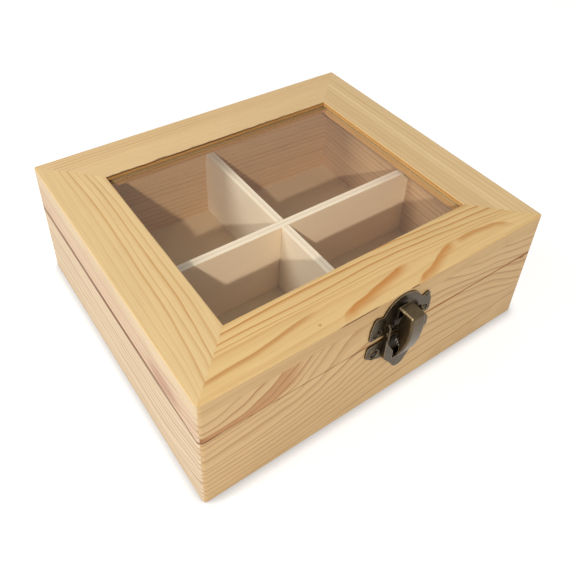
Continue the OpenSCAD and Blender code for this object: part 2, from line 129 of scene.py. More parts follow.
class Shader:
    """A new material, its nodes and the position on the object in millimetres."""

    def __init__(self, name):
        self.material = bpy.data.materials.new(name)
        self.material.use_nodes = True
        self.tree = self.material.node_tree
        self.tree.nodes.clear()
        self.output = self.tree.nodes.new("ShaderNodeOutputMaterial")
        metres = self.node("ShaderNodeTexCoord", {}, {}, output="Object")
        self.place = self.node("ShaderNodeVectorMath", {"operation": "SCALE"}, {0: metres, "Scale": MM})
        self.x, self.y, self.z = (self.node("ShaderNodeSeparateXYZ", {}, {0: self.place}, output=axis)
                                  for axis in "XYZ")

    def feed(self, socket, value):
        if isinstance(value, Sock):
            value = value.socket
        if isinstance(value, bpy.types.NodeSocket):
            self.tree.links.new(value, socket)
        else:
            socket.default_value = value

    def node(self, kind, settings, values, output=0):
        """Adds a node: settings first, then the values or links of its sockets."""
        made = self.tree.nodes.new(kind)
        for key, value in settings.items():
            if key == "stops":
                ramp = made.color_ramp
                while len(ramp.elements) < len(value):
                    ramp.elements.new(0.5)
                for element, (place, level) in zip(ramp.elements, value):
                    element.position = place
                    element.color = (level, level, level, 1.0)
            elif key == "blend":
                made.color_ramp.interpolation = value
            else:
                setattr(made, key, value)
        for key, value in values.items():
            self.feed(made.inputs[key], value)
        socket = made.outputs[output]
        return Sock(self, socket) if socket.type == "VALUE" else socket

    def combine(self, x, y, z):
        return self.node("ShaderNodeCombineXYZ", {}, {0: x, 1: y, 2: z})

    def curve(self, value, points):
        """A number that follows points (place, value), read with a smooth ramp."""
        low, high = points[0][0], points[-1][0]
        bottom = min(p[1] for p in points)
        span = max(p[1] for p in points) - bottom
        stops = [((p[0] - low) / (high - low), (p[1] - bottom) / span) for p in points]
        share = (value - low) / (high - low)
        return self.ramp(share, stops, "CARDINAL") * span + bottom

    def ramp(self, share, stops, blend):
        """A number read from a ramp of stops (place, value)."""
        ramp = self.node("ShaderNodeValToRGB", {"stops": stops, "blend": blend}, {"Fac": share})
        return self.node("ShaderNodeSeparateColor", {}, {0: ramp})

    def noise(self, place, scale, detail=2.0, rough=0.5):
        values = {"Vector": place, "Scale": scale, "Detail": detail, "Roughness": rough}
        return self.node("ShaderNodeTexNoise", {"noise_dimensions": "3D"}, values)

    def up(self):
        """How far the surface faces upwards, 0 to 1."""
        normal = self.node("ShaderNodeNewGeometry", {}, {}, output="Normal")
        return self.node("ShaderNodeSeparateXYZ", {}, {0: normal}, output=2).clamped()

    def random(self, value):
        """A number between 0 and 1 for each whole number."""
        return self.node("ShaderNodeTexWhiteNoise", {"noise_dimensions": "1D"}, {"W": value})

    def mix(self, share, first, second, blend="MIX"):
        """Colour between first and second. The mix node's colour sockets are 6 and 7, its result is 2."""
        settings = {"data_type": "RGBA", "blend_type": blend, "clamp_factor": True}
        return self.node("ShaderNodeMix", settings, {0: share, 6: first, 7: second}, output=2)

    def multiply(self, share, colour, factor):
        """Colour times a factor (red, green, blue), as far as the share says."""
        return self.mix(share, colour, factor + (1.0,), "MULTIPLY")

    def mix_shader(self, share, first, second):
        return self.node("ShaderNodeMixShader", {}, {0: share, 1: first, 2: second})

    def surface(self, colour, rough, metal=0.0, height=None, depth=0.0, shine=0.5):
        """Principled surface; depth is the bump's depth in metres."""
        values = {"Base Color": colour, "Roughness": rough, "Metallic": metal,
                  "Specular IOR Level": shine}
        if height is not None:
            bump = {"Strength": 1.0, "Distance": depth, "Height": height}
            values["Normal"] = self.node("ShaderNodeBump", {}, bump)
        return self.node("ShaderNodeBsdfPrincipled", {}, values)

    def finish(self, shader):
        self.tree.links.new(shader, self.output.inputs["Surface"])
        return self.material


# ---------- pine ----------


def ring_field(s, along, across, stations, lines):
    """Growth ring number over a board. Line k passes the heights lines[k] at the stations along it."""
    heights = [s.curve(along, list(zip(stations, line))) for line in lines]
    number = 0.0
    for low, high in zip(heights, heights[1:]):
        number = ((across - low) / (high - low)).clamped() + number
    return number


def stroke(s, along, across, points, soft, crisp):
    """A mark that follows points: soft on its low side, crisp on the other, faded at both ends."""
    gap = across - s.curve(along, points)
    first, last = points[0][0], points[-1][0]
    reach = (last - first) * 0.18
    ends = along.smooth(first - 1.0, first + reach) * (1.0 - along.smooth(last - reach, last + 1.0))
    return gap.smooth(-soft, 0.0) * (1.0 - gap.smooth(0.0, crisp)) * ends


def latewood(s, number, weights, seed):
    """Dark part of each ring: a fine line with a crisp outer edge, and a soft band before it."""
    whole = number.math("FLOOR")
    part = number - whole
    if weights:
        span = len(weights)
        stops = [(k / span, weight) for k, weight in enumerate(weights)]
        strength = s.ramp((whole + 0.5) / span, stops, "CONSTANT")
    else:
        strength = s.random(whole + seed) * 0.7 + 0.3
    fine = part.smooth(0.62, 0.93) * (1.0 - part.smooth(0.955, 1.0))
    body = part.smooth(0.0, 0.95) * (1.0 - part.smooth(0.97, 1.0))
    return fine * strength, body * strength


# factors of red, green and blue that change the wood's colour
DULLER = (0.90, 0.89, 0.87)
BRIGHTER = (1.08, 1.09, 1.10)
LIGHT_STREAK = (1.10, 1.10, 1.12)
DARK_FIBRE = (0.66, 0.62, 0.56)
# painted shade on the boards' faces inside the box, below the glass
INSIDE_SHADE = (0.94, 0.91, 0.97)
# painted shade and dirt in the seam
SEAM_BROWN = (112, 60, 22)
SEAM_ORANGE = (146, 86, 34)


def outer_faces(s):
    """1 on the box's outer sides, and 0 inside it."""
    across = s.x.math("ABSOLUTE").smooth(HALF_WIDTH - 1.6, HALF_WIDTH - 1.2)
    deep = s.y.math("ABSOLUTE").smooth(HALF_DEPTH - 1.6, HALF_DEPTH - 1.2)
    return across.math("MAXIMUM", deep)


def pine(name, pale, late, along, rings, seed=0.0, weights=None, body=0.25, contrast=1.0, tint=None,
         edge=None, edge_late=None, lip=None, streaks=0.7, shown=None):
    """Sanded pine. along is the grain's direction, 0 for X and 1 for Y; rings gives the ring number.
    edge and edge_late are the colours of the board's outer face and lip that of its window edge, where
    they differ from the rest. shown is a mask for the rings."""
    s = Shader(name)
    look = bpy.context.scene.tea_box_wood
    run, across = (s.x, s.y) if along == 0 else (s.y, s.x)

    def grain(lengthwise, crosswise, detail, rough=0.5):
        """Noise drawn out along the board: waves for each millimetre along it and across it."""
        place = s.combine(run * lengthwise, across * crosswise, s.z * crosswise + seed)
        return s.noise(place, 1.0, detail, rough)

    # the grain's wander along the board, and its small waves
    drift = grain(0.013, 0.025, 1.0) - 0.5
    shiver = grain(0.06, 0.16, 1.5) - 0.5
    number = rings(s, run, across) + drift * look.wander + shiver * look.shiver
    fine, broad = latewood(s, number, weights, seed)
    # streaks that follow the rings
    streak = s.noise(s.combine(run * 0.007, number * 3.1 + seed, seed), 1.0, 3.0, 0.7)
    # colour of the wood between the lines
    wide = grain(0.010, 0.08, 2.0)
    fibre = grain(0.05, 1.3, 3.0, 0.6)
    pore = grain(0.45, 7.0, 2.0, 0.6)
    blotch = grain(0.03, 0.06, 2.0)
    colour, dark = linear(*pale), linear(*late)
    outer = outer_faces(s)
    if edge is not None:
        side = 1.0 - s.up().smooth(0.4, 0.9)
        colour = s.mix(side, colour, s.mix(outer, linear(*lip), linear(*edge)))
        dark = s.mix(side, dark, linear(*edge_late))
    colour = s.multiply((wide - 0.30) * 1.2, colour, DULLER)
    colour = s.multiply((blotch - 0.5) * 1.6, colour, BRIGHTER)
    if tint is not None:
        colour = tint(s, colour)
    share = (fine * 0.8 + broad * body) * look.contrast * contrast * (0.7 + fibre * 0.6)
    if shown is not None:
        share = share * shown(s)
    colour = s.mix(share, colour, dark)
    colour = s.mix((streak - 0.52) * 2.4 * streaks, colour, dark)
    colour = s.multiply((0.46 - streak) * 1.6 * streaks, colour, LIGHT_STREAK)
    colour = s.multiply((fibre - 0.48) * 1.1 * look.fibre, colour, DARK_FIBRE)
    colour = s.multiply((pore - 0.56) * 1.4 * look.fibre, colour, DARK_FIBRE)
    # painted shade of the gap and dirt where the lid meets the base
    shade_and_grime = s.noise(s.combine(s.x * 0.03, s.y * 0.03, seed), 1.0, 2.0)
    seam = s.z.bump(SEAM, shade_and_grime.smooth(0.3, 0.75) * 0.9 + 0.6)
    # on the front it is faint to the left of the latch and orange brown to its right
    front = (1.0 - s.y.smooth(-87.4, -86.8)) * s.x.smooth(-96.0, -88.0)
    fade = 1.0 - front * (1.0 - s.x.smooth(-30.0, 0.0)) * 0.6
    # colour of the painted seam shade and dirt
    seam_tone = s.mix(front * s.x.smooth(0.0, 20.0), linear(*SEAM_BROWN), linear(*SEAM_ORANGE))
    colour = s.mix(seam.smooth(0.0, 0.6) * outer * look.seam * fade, colour, seam_tone)
    # painted shade: the boards' faces inside the box are a little darker below the glass
    colour = s.multiply((1.0 - outer) * (1.0 - s.z.smooth(61.0, 62.0)), colour, INSIDE_SHADE)
    rough = 0.50 + fibre * 0.14 - fine * 0.08
    height = fibre * 0.5 + pore * 0.3 - fine * 0.4
    return s.finish(s.surface(colour, rough, 0.0, height, 0.00012, shine=0.35))


# colours of the early wood between the lines and of the late wood in them
TOP_PALE = (223, 190, 132)
TOP_LATE = (184, 124, 56)
SIDE_PALE = (215, 182, 132)
SIDE_LATE = (164, 110, 62)
LEFT_PALE = (226, 204, 170)
LEFT_LATE = (166, 118, 78)


def front_rail_rings(s, x, y):
    """Lines beside the glass that swing out to the edge at the right, and wide rings below them."""
    stations = (-100, -78.6, -57.1, -35.7, -14.3, 7.1, 28.6, 50, 71.4, 85.7, 100)
    lines = (
        (-14, -13, -12, -11, -10, -9, -8, -7, -6, -5, -4),
        (-6, -5, -4, -3, -2, -1, 0, 1, 1.5, 2, 2),
        (1.5, 2.5, 3.5, 4.5, 5.5, 6.3, 7, 7.4, 6.4, 5.0, 4),
        (8.2, 9.0, 10.8, 13.2, 14.0, 13.8, 12.6, 12.0, 10.2, 8, 6),
        (15.4, 16.2, 16.6, 16.6, 16.4, 16.2, 15.0, 13.8, 12.8, 11, 9),
        (17.9, 18.2, 18.2, 17.7, 17.8, 18.1, 16.9, 15.6, 14.4, 12.6, 11),
        (20.4, 21.0, 21.0, 20.7, 21.3, 22.0, 20.8, 18.8, 16.6, 14.6, 12.6),
        (24.0, 24.7, 25.8, 26.4, 26.2, 25.5, 23.9, 22.1, 20.8, 19.6, 18.4),
        (28, 28.5, 29.4, 29.6, 29.4, 28.8, 27.4, 25.8, 24.6, 23.4, 22),
        (34, 34, 35, 35, 35, 34, 32, 30, 28, 27, 26),
    )
    return ring_field(s, x, y + HALF_DEPTH - (TOP - s.z) * 1.6, stations, lines)


def front_rail_tint(s, colour):
    """Brown streak from the left mitre and orange flames along the outer edge."""
    out = s.y + HALF_DEPTH
    top = s.up().smooth(0.4, 0.9)
    courses = (
        (((-99, 7.6), (-84, 8.6), (-67.1, 9.3), (-52.9, 11.4), (-32.9, 13.6)), 3.0, 0.7),
        (((-29.6, 0), (-26.5, 4.2), (-20, 6.5), (-8.6, 8.6), (8.6, 12.1), (18, 13.4)), 6.0, 0.9),
        (((12, 0), (18, 3), (25.7, 5), (31, 7.4), (37.1, 10), (47, 11.9)), 6.0, 0.9),
        (((46, 11.2), (58, 11.6), (66, 10.6), (74, 9.4), (80, 6.5), (82, 4)), 4.4, 1.0),
    )
    streak, first, second, third = (stroke(s, s.x, out, *course) for course in courses)
    colour = s.mix(streak * top * 0.7, colour, linear(180, 122, 60))
    colour = s.mix((first + second * 0.9) * top * 0.95, colour, linear(192, 128, 60))
    colour = s.mix(third * top * 0.75, colour, linear(190, 132, 66))
    # small chips along the sharp upper edge
    chip = s.x.bump(-21.0, 15.0).smooth(0.0, 0.5) + s.x.bump(11.0, 3.5).smooth(0.0, 0.6)
    chip = chip * s.z.bump(TOP - 0.2, 0.8).smooth(0.0, 0.6) * (1.0 - s.y.smooth(-87.4, -87.0))
    colour = s.mix(chip * 0.9, colour, linear(92, 60, 36))
    knot = s.x.bump(-38.4, 1.1) * out.bump(6.0, 1.1) * top
    return s.mix(knot * 0.7, colour, linear(150, 92, 50))


def left_rail_rings(s, y, x):
    """Lines along the board that swing towards the outer edge at its front end."""
    stations = (-87.5, -69.6, -41.1, -12.5, 16.1, 44.6, 68.9, 87.5)
    lines = (
        (-4, -3, -2, -1, 0, 1, 1.2, 1.5),
        (1, 1.4, 1.7, 2.1, 3.1, 4, 4.3, 4.5),
        (3, 4.7, 5, 5.7, 6.9, 7.1, 7.4, 7.6),
        (5, 7.1, 8.9, 10.3, 11.1, 11.4, 10.7, 10.5),
        (8, 10.3, 12.9, 14, 15, 15.4, 14.3, 13.5),
        (12, 14.3, 16, 16.9, 18, 18.6, 17.4, 16.5),
        (15, 16.9, 20, 20.9, 21.4, 21.7, 20.7, 19.5),
        (19, 21.4, 24, 24.6, 25, 24.6, 22.9, 22),
        (24, 26, 29, 29, 29, 28.5, 27.5, 27),
    )
    return ring_field(s, y, x + HALF_WIDTH - (TOP - s.z) * 0.4, stations, lines)


def back_rail_rings(s, x, y):
    """Fine close lines near the outer edge."""
    return (HALF_DEPTH - y) * 0.42 + x * 0.006 + (TOP - s.z) * 0.4


def back_rail_shown(s):
    """The lines fade beside the glass, and a little towards the right."""
    beside_glass = (HALF_DEPTH - s.y).smooth(9.0, 17.0) * s.up()
    return (1.0 - beside_glass) * (1.0 - s.x.smooth(-45.0, 60.0) * 0.5)


def back_rail_tint(s, colour):
    """Dark uneven line under the window's upper edge, and a fainter one where the glass meets it."""
    wave = s.noise(s.combine(s.x * 0.09, 0.0, 3.0), 1.0, 2.5)
    inner = 1.0 - s.y.smooth(59.6, 60.0)
    upper = (s.z - wave * 1.1).bump(69.85, 0.75).smooth(0.0, 0.7)
    upper = upper * (1.0 - s.x.smooth(-10.0, 80.0) * 0.6)
    lower = s.z.bump(68.3, 0.5) * 0.6
    return s.mix(upper.math("MAXIMUM", lower) * inner * 0.9, colour, linear(70, 44, 22))


def right_rail_tint(s, colour):
    """A brown band beside the glass and a pale one along the outer edge."""
    colour = s.mix(s.x.bump(79.0, 9.0) * 0.45, colour, linear(209, 176, 126))
    return s.mix(s.x.bump(87.0, 4.0) * 0.5, colour, linear(236, 208, 160))


FRONT_STATIONS = (-100, -87.5, -75, -62.5, -50, -37.5, -25, 0, 25, 50, 75, 100)
FRONT_LINES = (
    (-12, -11, -9, -6, -2, 2.5, 5.2, 8.9, 11.5, 13.0, 15.5, 17.6),
    (2.5, 3.2, 4.0, 4.6, 5.2, 6.4, 8.2, 13.0, 15.8, 16.6, 17.6, 19.5),
    (6.0, 6.3, 6.7, 7.2, 8.0, 10, 12.4, 18.2, 21.7, 20.7, 18.6, 20.2),
    (9.4, 9.6, 10, 10.8, 12, 14.4, 17.6, 25.3, 28.3, 27, 21.5, 20.9),
    (13, 13.3, 13.8, 14.8, 16.8, 19.6, 23, 31.8, 35.4, 33.4, 27.6, 22),
    (16.6, 17, 17.6, 18.9, 20.8, 23.6, 27, 37, 41, 39.3, 33.5, 24),
    (20, 20.4, 21, 22, 23.8, 27.4, 32.6, 43.5, 47, 44.6, 39, 28),
    (23.2, 23.9, 24.8, 26.2, 28.4, 32, 37.7, 48.8, 52.3, 49.6, 44, 34),
    (25.6, 26.2, 27.2, 29.3, 32.4, 37.8, 44.9, 54.5, 57, 53, 48.5, 41),
    (33, 34, 35.5, 37.2, 39.4, 46.5, 62, 66, 66, 57, 53, 47),
    (37, 38.4, 40, 42, 46, 61, 68, 71, 70, 63, 58, 53),
    (42, 42.8, 44, 46.2, 53.4, 67, 75, 76, 75, 70, 63, 58),
    (44.8, 45.2, 46.3, 49.6, 59.6, 73, 80, 81, 80, 76, 70, 64),
    (47.2, 47.3, 48.7, 55.4, 67, 80, 86, 87, 86, 82, 78, 70),
    (49.4, 49.6, 52.8, 61.5, 74, 86, 92, 93, 92, 88, 84, 78),
    (52.4, 54.0, 60.4, 69, 82, 92, 98, 99, 98, 94, 90, 86),
    (58, 60.5, 68, 78, 90, 98, 104, 105, 104, 100, 96, 92),
)
FRONT_WEIGHTS = (0.25, 0.6, 0.6, 0.7, 0.65, 0.7, 0.7, 0.9, 0.7, 0.6, 0.7, 1.0, 1.0, 1.0, 0.9, 0.6)


def front_board_rings(s, x, y):
    """Long arches over the whole front, steep at the left end of the lid."""
    return ring_field(s, x, s.z - (y + HALF_DEPTH) * 0.3, FRONT_STATIONS, FRONT_LINES)


def front_line(s, k):
    """Height of the front's grain line k."""
    return s.curve(s.x, list(zip(FRONT_STATIONS, FRONT_LINES[k])))


def front_board_tint(s, colour):
    """One dark line low on the front, and the marks beside the seam."""
    gap = s.z - front_line(s, 0)
    line = gap.smooth(-1.2, 0.0) * (1.0 - gap.smooth(0.0, 0.45)) * s.x.smooth(-48.0, -15.0)
    colour = s.mix(line * 0.8, colour, linear(168, 108, 58))
    # brown wood in the flame at the lid's left end
    flame = (s.z - front_line(s, 11)).smooth(0.0, 3.0) * (front_line(s, 14) - s.z).smooth(0.0, 1.0)
    flame = flame * (1.0 - s.x.smooth(-60.0, -46.0)) * s.z.smooth(SEAM, SEAM + 0.5)
    colour = s.mix(flame * 0.65, colour, linear(182, 124, 76))
    # painted shade of a small notch in the seam, right of the latch, which the shape doesn't have
    nick = s.x.bump(93.0, 3.0) * s.z.bump(45.2, 1.5)
    colour = s.mix(nick.smooth(0.0, 0.7) * 0.8, colour, linear(120, 72, 36))
    seam_tone = (1.0 - s.x.smooth(-99.0, -58.0)) * s.z.smooth(46.2, 46.6) * (1.0 - s.z.smooth(47.5, 51.0))
    colour = s.mix(seam_tone * 0.4, colour, linear(186, 122, 74))
    whorl = s.x.bump(-99.4, 4.0) * s.z.bump(47.6, 2.6)
    return s.mix(whorl * 0.7, colour, linear(122, 76, 44))


def left_board_rings(s, y, x):
    """Level lines, close together near the bottom, that climb a little at the front end."""
    lift = (1.0 - y.smooth(-88.0, -42.0)) * (y + 42.0) * 0.16
    close = (1.0 - s.z.smooth(8.0, 22.0)) * s.z * 0.1
    return (s.z + lift) * 0.25 + close + x * 0.1


def left_board_tint(s, colour):
    """The lid's board is pinker than the base's, with one darker spot."""
    pink = s.z.smooth(SEAM, SEAM + 0.3) * (1.0 - s.z.smooth(56.0, 62.0) * 0.5)
    colour = s.mix(pink * 0.6, colour, linear(218, 186, 156))
    spot = s.y.bump(-58.0, 22.0) * s.z.bump(52.5, 7.5)
    colour = s.mix(spot.smooth(0.0, 0.8) * 0.75, colour, linear(184, 136, 112))
    # painted shade of the gap under the lid, widest from the middle to the back
    gap = s.z.bump(45.3, 2.1).smooth(0.0, 0.5) * s.y.smooth(-86.0, -50.0)
    gap = gap * (1.0 - s.x.smooth(-98.8, -98.4))
    return s.mix(gap * (s.y.bump(-5.0, 60.0) * 0.3 + 0.65), colour, linear(104, 50, 14))


def back_board_rings(s, x, y):
    return s.z * 0.3 + x * 0.012 + y * 0.3


def right_board_rings(s, y, x):
    return s.z * 0.28 - y * 0.012 + x * 0.3


def right_rail_rings(s, y, x):
    return (x - 70.0) * 0.3 + (TOP - s.z) * 0.3


FRONT = dict(pale=SIDE_PALE, late=SIDE_LATE, along=0, rings=front_board_rings, seed=41.0,
             weights=FRONT_WEIGHTS, tint=front_board_tint, body=0.22)
LEFT = dict(pale=LEFT_PALE, late=LEFT_LATE, along=1, rings=left_board_rings, seed=53.0,
            tint=left_board_tint, streaks=1.0, body=0.4)
BACK = dict(pale=SIDE_PALE, late=SIDE_LATE, along=0, rings=back_board_rings, seed=61.0,
            contrast=0.6, streaks=0.8)
RIGHT = dict(pale=(228, 197, 149), late=SIDE_LATE, along=1, rings=right_board_rings, seed=71.0,
             contrast=0.6, streaks=0.8)
BOARDS = {
    "rail_front": dict(
        pale=TOP_PALE, late=TOP_LATE, along=0, rings=front_rail_rings, seed=3.0, body=0.3,
        weights=(0.2, 0.2, 0.3, 0.5, 0.8, 1.0, 1.0, 1.0, 0.7), tint=front_rail_tint,
        edge=(208, 174, 124), edge_late=SIDE_LATE, lip=(196, 150, 92), streaks=0.6),
    "rail_left": dict(
        pale=(225, 195, 142), late=(196, 148, 84), along=1, rings=left_rail_rings, seed=11.0, body=0.25,
        weights=(0.2, 0.3, 0.35, 0.9, 0.5, 1.0, 0.7, 0.35),
        edge=(222, 198, 162), edge_late=(186, 144, 104), lip=(196, 150, 92), streaks=0.6),
    "rail_back": dict(
        pale=(223, 191, 141), late=(186, 138, 84), along=0, rings=back_rail_rings, seed=23.0,
        tint=back_rail_tint, shown=back_rail_shown, body=0.35, contrast=0.9,
        edge=(212, 178, 128), edge_late=SIDE_LATE, lip=(186, 140, 80), streaks=0.45),
    "rail_right": dict(
        pale=(222, 192, 143), late=(196, 154, 100), along=1, rings=right_rail_rings, seed=31.0,
        contrast=0.7, tint=right_rail_tint,
        edge=(212, 178, 128), edge_late=SIDE_LATE, lip=(214, 166, 100), streaks=0.6),
    "lid_front": FRONT, "base_front": FRONT, "lid_left": LEFT, "base_left": LEFT,
    "lid_back": BACK, "base_back": BACK, "lid_right": RIGHT, "base_right": RIGHT,
}


# ---------- plywood, glass and metal ----------


def plywood(name, along, seed, shade=(1.0, 1.0, 1.0)):
    """Smooth pale plywood: veneer figure on the faces, a thin dark ply on the dividers' upper edges.
    shade is a factor of red, green and blue on the plywood's colour."""
    s = Shader(name)
    look = bpy.context.scene.tea_box_wood
    run, across = (s.x, s.y) if along == 0 else (s.y, s.x)
    figure = s.noise(s.combine(run * 0.02, across * 0.08 + seed, s.z * 0.16), 1.0, 3.0)
    fibre = s.noise(s.combine(run * 0.03, across * 0.9 + seed, s.z * 0.9), 1.0, 3.0, 0.6)
    pores = s.noise(s.combine(run * 0.5, across * 8.0 + seed, s.z * 8.0), 1.0, 2.0)
    pale = tuple(c * k for c, k in zip(look.plywood_colour, shade)) + (1.0,)
    colour = s.multiply((figure - 0.3) * 0.8, pale, (0.90, 0.87, 0.82))
    if name.endswith("divider"):
        colour = s.mix(s.up().smooth(0.3, 0.8), colour, linear(253, 242, 220))
        colour = s.mix(across.bump(0.0, 1.0) * s.up() * 0.35, colour, linear(206, 178, 142))
    colour = s.multiply((fibre - 0.5) * 0.5, colour, (0.78, 0.74, 0.68))
    rough = 0.55 + fibre * 0.15
    return s.finish(s.surface(colour, rough, 0.0, fibre * 0.6 + pores * 0.4, 0.00008, shine=0.3))


def clear_glass():
    """Window glass: clear, a little warm, with a sheen that grows at low angles."""
    s = Shader("window_glass")
    clear = s.node("ShaderNodeBsdfTransparent", {}, {"Color": (0.99, 0.98, 0.965, 1.0)})
    sheen = s.surface((0.95, 0.97, 1.0, 1.0), 0.03, 1.0)
    inner = s.node("ShaderNodeNewGeometry", {}, {}, output="Backfacing")
    share = s.node("ShaderNodeFresnel", {}, {"IOR": 1.4}) * (1.0 - inner)
    return s.finish(s.mix_shader(share.clamped(), clear, sheen))


def aged_bronze(name, dark, bright, rough=0.34, bright_edge_width=0.00035):
    """Dark plated metal, brightened along its edges over the given width as wear and painted highlight,
    and darkened towards black in its hollows as painted shade and grime.
    """
    s = Shader(name)
    cloud = s.noise(s.place, 0.35, 3.0)
    speck = s.noise(s.place, 2.4, 4.0, 0.7)
    scratch = s.noise(s.combine(s.x * 1.2, s.y * 1.2, s.z * 6.0), 1.0, 2.0)
    flat = s.node("ShaderNodeNewGeometry", {}, {}, output="Normal")
    rounded = s.node("ShaderNodeBevel", {"samples": 6}, {"Radius": bright_edge_width})
    dot = {"operation": "DOT_PRODUCT"}
    turn = s.node("ShaderNodeVectorMath", dot, {0: flat, 1: rounded}, output="Value")
    # wear and painted highlight: convex edges are painted bright
    outward = s.node("ShaderNodeNewGeometry", {}, {}, output="Pointiness").smooth(0.47, 0.51)
    worn_and_glint = (1.0 - turn).smooth(0.008, 0.12) * outward * (0.6 + speck)
    # painted shade and grime: hollows are darkened towards black by ambient occlusion
    near = {"samples": 6, "only_local": True}
    open_air = s.node("ShaderNodeAmbientOcclusion", near, {"Distance": 0.0022}, output="AO")
    shade_and_grime = 1.0 - open_air.smooth(0.25, 0.85)
    colour = s.mix((cloud - 0.3) * 1.4, linear(*dark), linear(*(0.75 * c for c in dark)))
    colour = s.mix((speck - 0.62) * 3.0, colour, linear(*(0.45 * c for c in dark)))
    colour = s.mix(shade_and_grime * 0.8, colour, linear(14, 11, 8))
    colour = s.mix(worn_and_glint * 0.85, colour, linear(*bright))
    roughness = rough + (speck - 0.5) * 0.22 + (scratch - 0.5) * 0.12
    return s.finish(s.surface(colour, roughness, 0.92, speck * 0.6 + scratch * 0.4, 0.00005))


# ---------- pieces ----------


MERGE = 1e-6  # metres
FLAT_ANGLE = math.radians(1.0)  # faces that differ by less are one face
SHARP_ANGLE = math.radians(35.0)  # edges that turn by more are softened
SMOOTH_ANGLE = math.radians(40.0)  # edges that turn by less are shaded smooth


def soft_copy(node, piece_name, bevel=0.0):
    """A merged copy of a model node with softened edges, which takes the node's place."""
    source = frame["nodes"][node]
    mesh = bpy.data.meshes.new(piece_name)
    shape = bmesh.new()
    shape.from_mesh(source.data)
    bmesh.ops.remove_doubles(shape, verts=shape.verts, dist=MERGE)
    bmesh.ops.dissolve_limit(shape, angle_limit=FLAT_ANGLE, verts=shape.verts, edges=shape.edges,
                             use_dissolve_boundaries=False)
    if bevel:
        sharp = [e for e in shape.edges if len(e.link_faces) == 2 and e.is_manifold
                 and e.calc_face_angle(0.0) > SHARP_ANGLE]
        bmesh.ops.bevel(shape, geom=sharp, offset=bevel, offset_type="OFFSET", affect="EDGES",
                        segments=2, profile=0.5, material=-1, clamp_overlap=True)
    bmesh.ops.triangulate(shape, faces=[f for f in shape.faces if len(f.verts) > 4])
    for face in shape.faces:
        face.smooth = True
    for e in shape.edges:
        e.smooth = len(e.link_faces) == 2 and e.calc_face_angle(0.0) < SMOOTH_ANGLE
    shape.to_mesh(mesh)
    shape.free()
    piece = bpy.data.objects.new(piece_name, mesh)
    bpy.context.scene.collection.objects.link(piece)
    flat = piece.modifiers.new("flat faces", "WEIGHTED_NORMAL")
    flat.keep_sharp = True
    flat.weight = 100
    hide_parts(node)
    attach(piece, BODY_OF[node])
    return piece


def dress(piece, material):
    piece.data.materials.clear()
    piece.data.materials.append(material)


class WoodSettings(PropertyGroup):
    contrast: FloatProperty(name="Ring contrast", description="Strength of the dark latewood lines",
                            default=0.8, min=0.0, max=1.0, subtype="FACTOR")
    fibre: FloatProperty(name="Fibre", description="Strength of the fine streaks along the grain",
                         default=0.6, min=0.0, max=1.0, subtype="FACTOR")
    wander: FloatProperty(name="Wander", description="How far the rings drift along a board, in rings",
                          default=0.25, min=0.0, max=4.0)
    shiver: FloatProperty(name="Shiver", description="Small waves in the rings, in rings",
                          default=0.2, min=0.0, max=1.0)
    easing: FloatProperty(name="Edge easing", description="Width sanded off the boards' edges",
                          default=0.00018, min=0.00005, max=0.001, unit="LENGTH", precision=5)
    # sets how strongly the painted shade of the gap and the dirt show where the lid meets the base
    seam: FloatProperty(name="Seam shade", description="Strength of the dirt between lid and base",
                        default=0.85, min=0.0, max=1.0, subtype="FACTOR")
    plywood_colour: FloatVectorProperty(name="Plywood", description="Colour of dividers and floor",
                                        default=linear(251, 231, 206)[:3], size=3, min=0.0, max=1.0,
                                        subtype="COLOR")
    divider_edge: FloatProperty(name="Divider edges", description="Radius of the dividers' edges",
                                default=0.0004, min=0.00005, max=0.001, unit="LENGTH", precision=5)


class MetalSettings(PropertyGroup):
    edge: FloatProperty(name="Edge rounding", description="Radius of the metal's worn edges",
                        default=0.00014, min=0.00002, max=0.0005, unit="LENGTH", precision=5)


class StageSettings(PropertyGroup):
    azimuth: FloatProperty(name="Azimuth", description="Camera's turn round the box",
                           default=-0.661075, unit="ROTATION")
    elevation: FloatProperty(name="Elevation", description="Camera's height over the floor",
                             default=0.669062, unit="ROTATION")
    roll: FloatProperty(name="Roll", description="Tilt of the camera about its own line of sight",
                        default=0.057342, unit="ROTATION")
    distance: FloatProperty(name="Distance", description="Camera to the point that it looks at",
                            default=0.464177, min=0.1, unit="LENGTH")
    lens: FloatProperty(name="Lens", description="Focal length", default=41.9945, min=10.0,
                        unit="CAMERA")


class TEABOX_OT_boards(Operator):
    """Finish the pine boards of the base, the lid and the glass frame"""

    bl_idname = "teabox.boards"
    bl_label = "Pine boards"

    def execute(self, context):
        for node, look in BOARDS.items():
            piece = soft_copy(node, "pine_" + node, context.scene.tea_box_wood.easing)
            dress(piece, pine("pine_" + node, **look))
        return {"FINISHED"}


class TEABOX_OT_inside(Operator):
    """Finish the plywood floor and the dividers"""

    bl_idname = "teabox.inside"
    bl_label = "Floor and dividers"

    def execute(self, context):
        edge = context.scene.tea_box_wood.divider_edge
        # one plywood in three tones: the short divider's lighter cream is painted light from the left,
        # the floor's darker tan is painted shade
        pinkish = plywood("long_divider", 0, 5.0, (1.03, 1.03, 0.95))
        cream = plywood("short_divider", 1, 17.0, (1.02, 1.09, 1.1))
        tan = plywood("floor_plywood", 0, 29.0, (0.73, 0.68, 0.535))
        dress(soft_copy("divider_long", "ply_divider_long", edge), pinkish)
        dress(soft_copy("divider_short", "ply_divider_short", edge), cream)
        dress(soft_copy("floor_panel", "ply_floor"), tan)
        return {"FINISHED"}


class TEABOX_OT_glass(Operator):
    """Finish the glass pane"""

    bl_idname = "teabox.glass"
    bl_label = "Glass pane"

    def execute(self, context):
        dress(frame["nodes"]["glass_pane"], clear_glass())
        return {"FINISHED"}


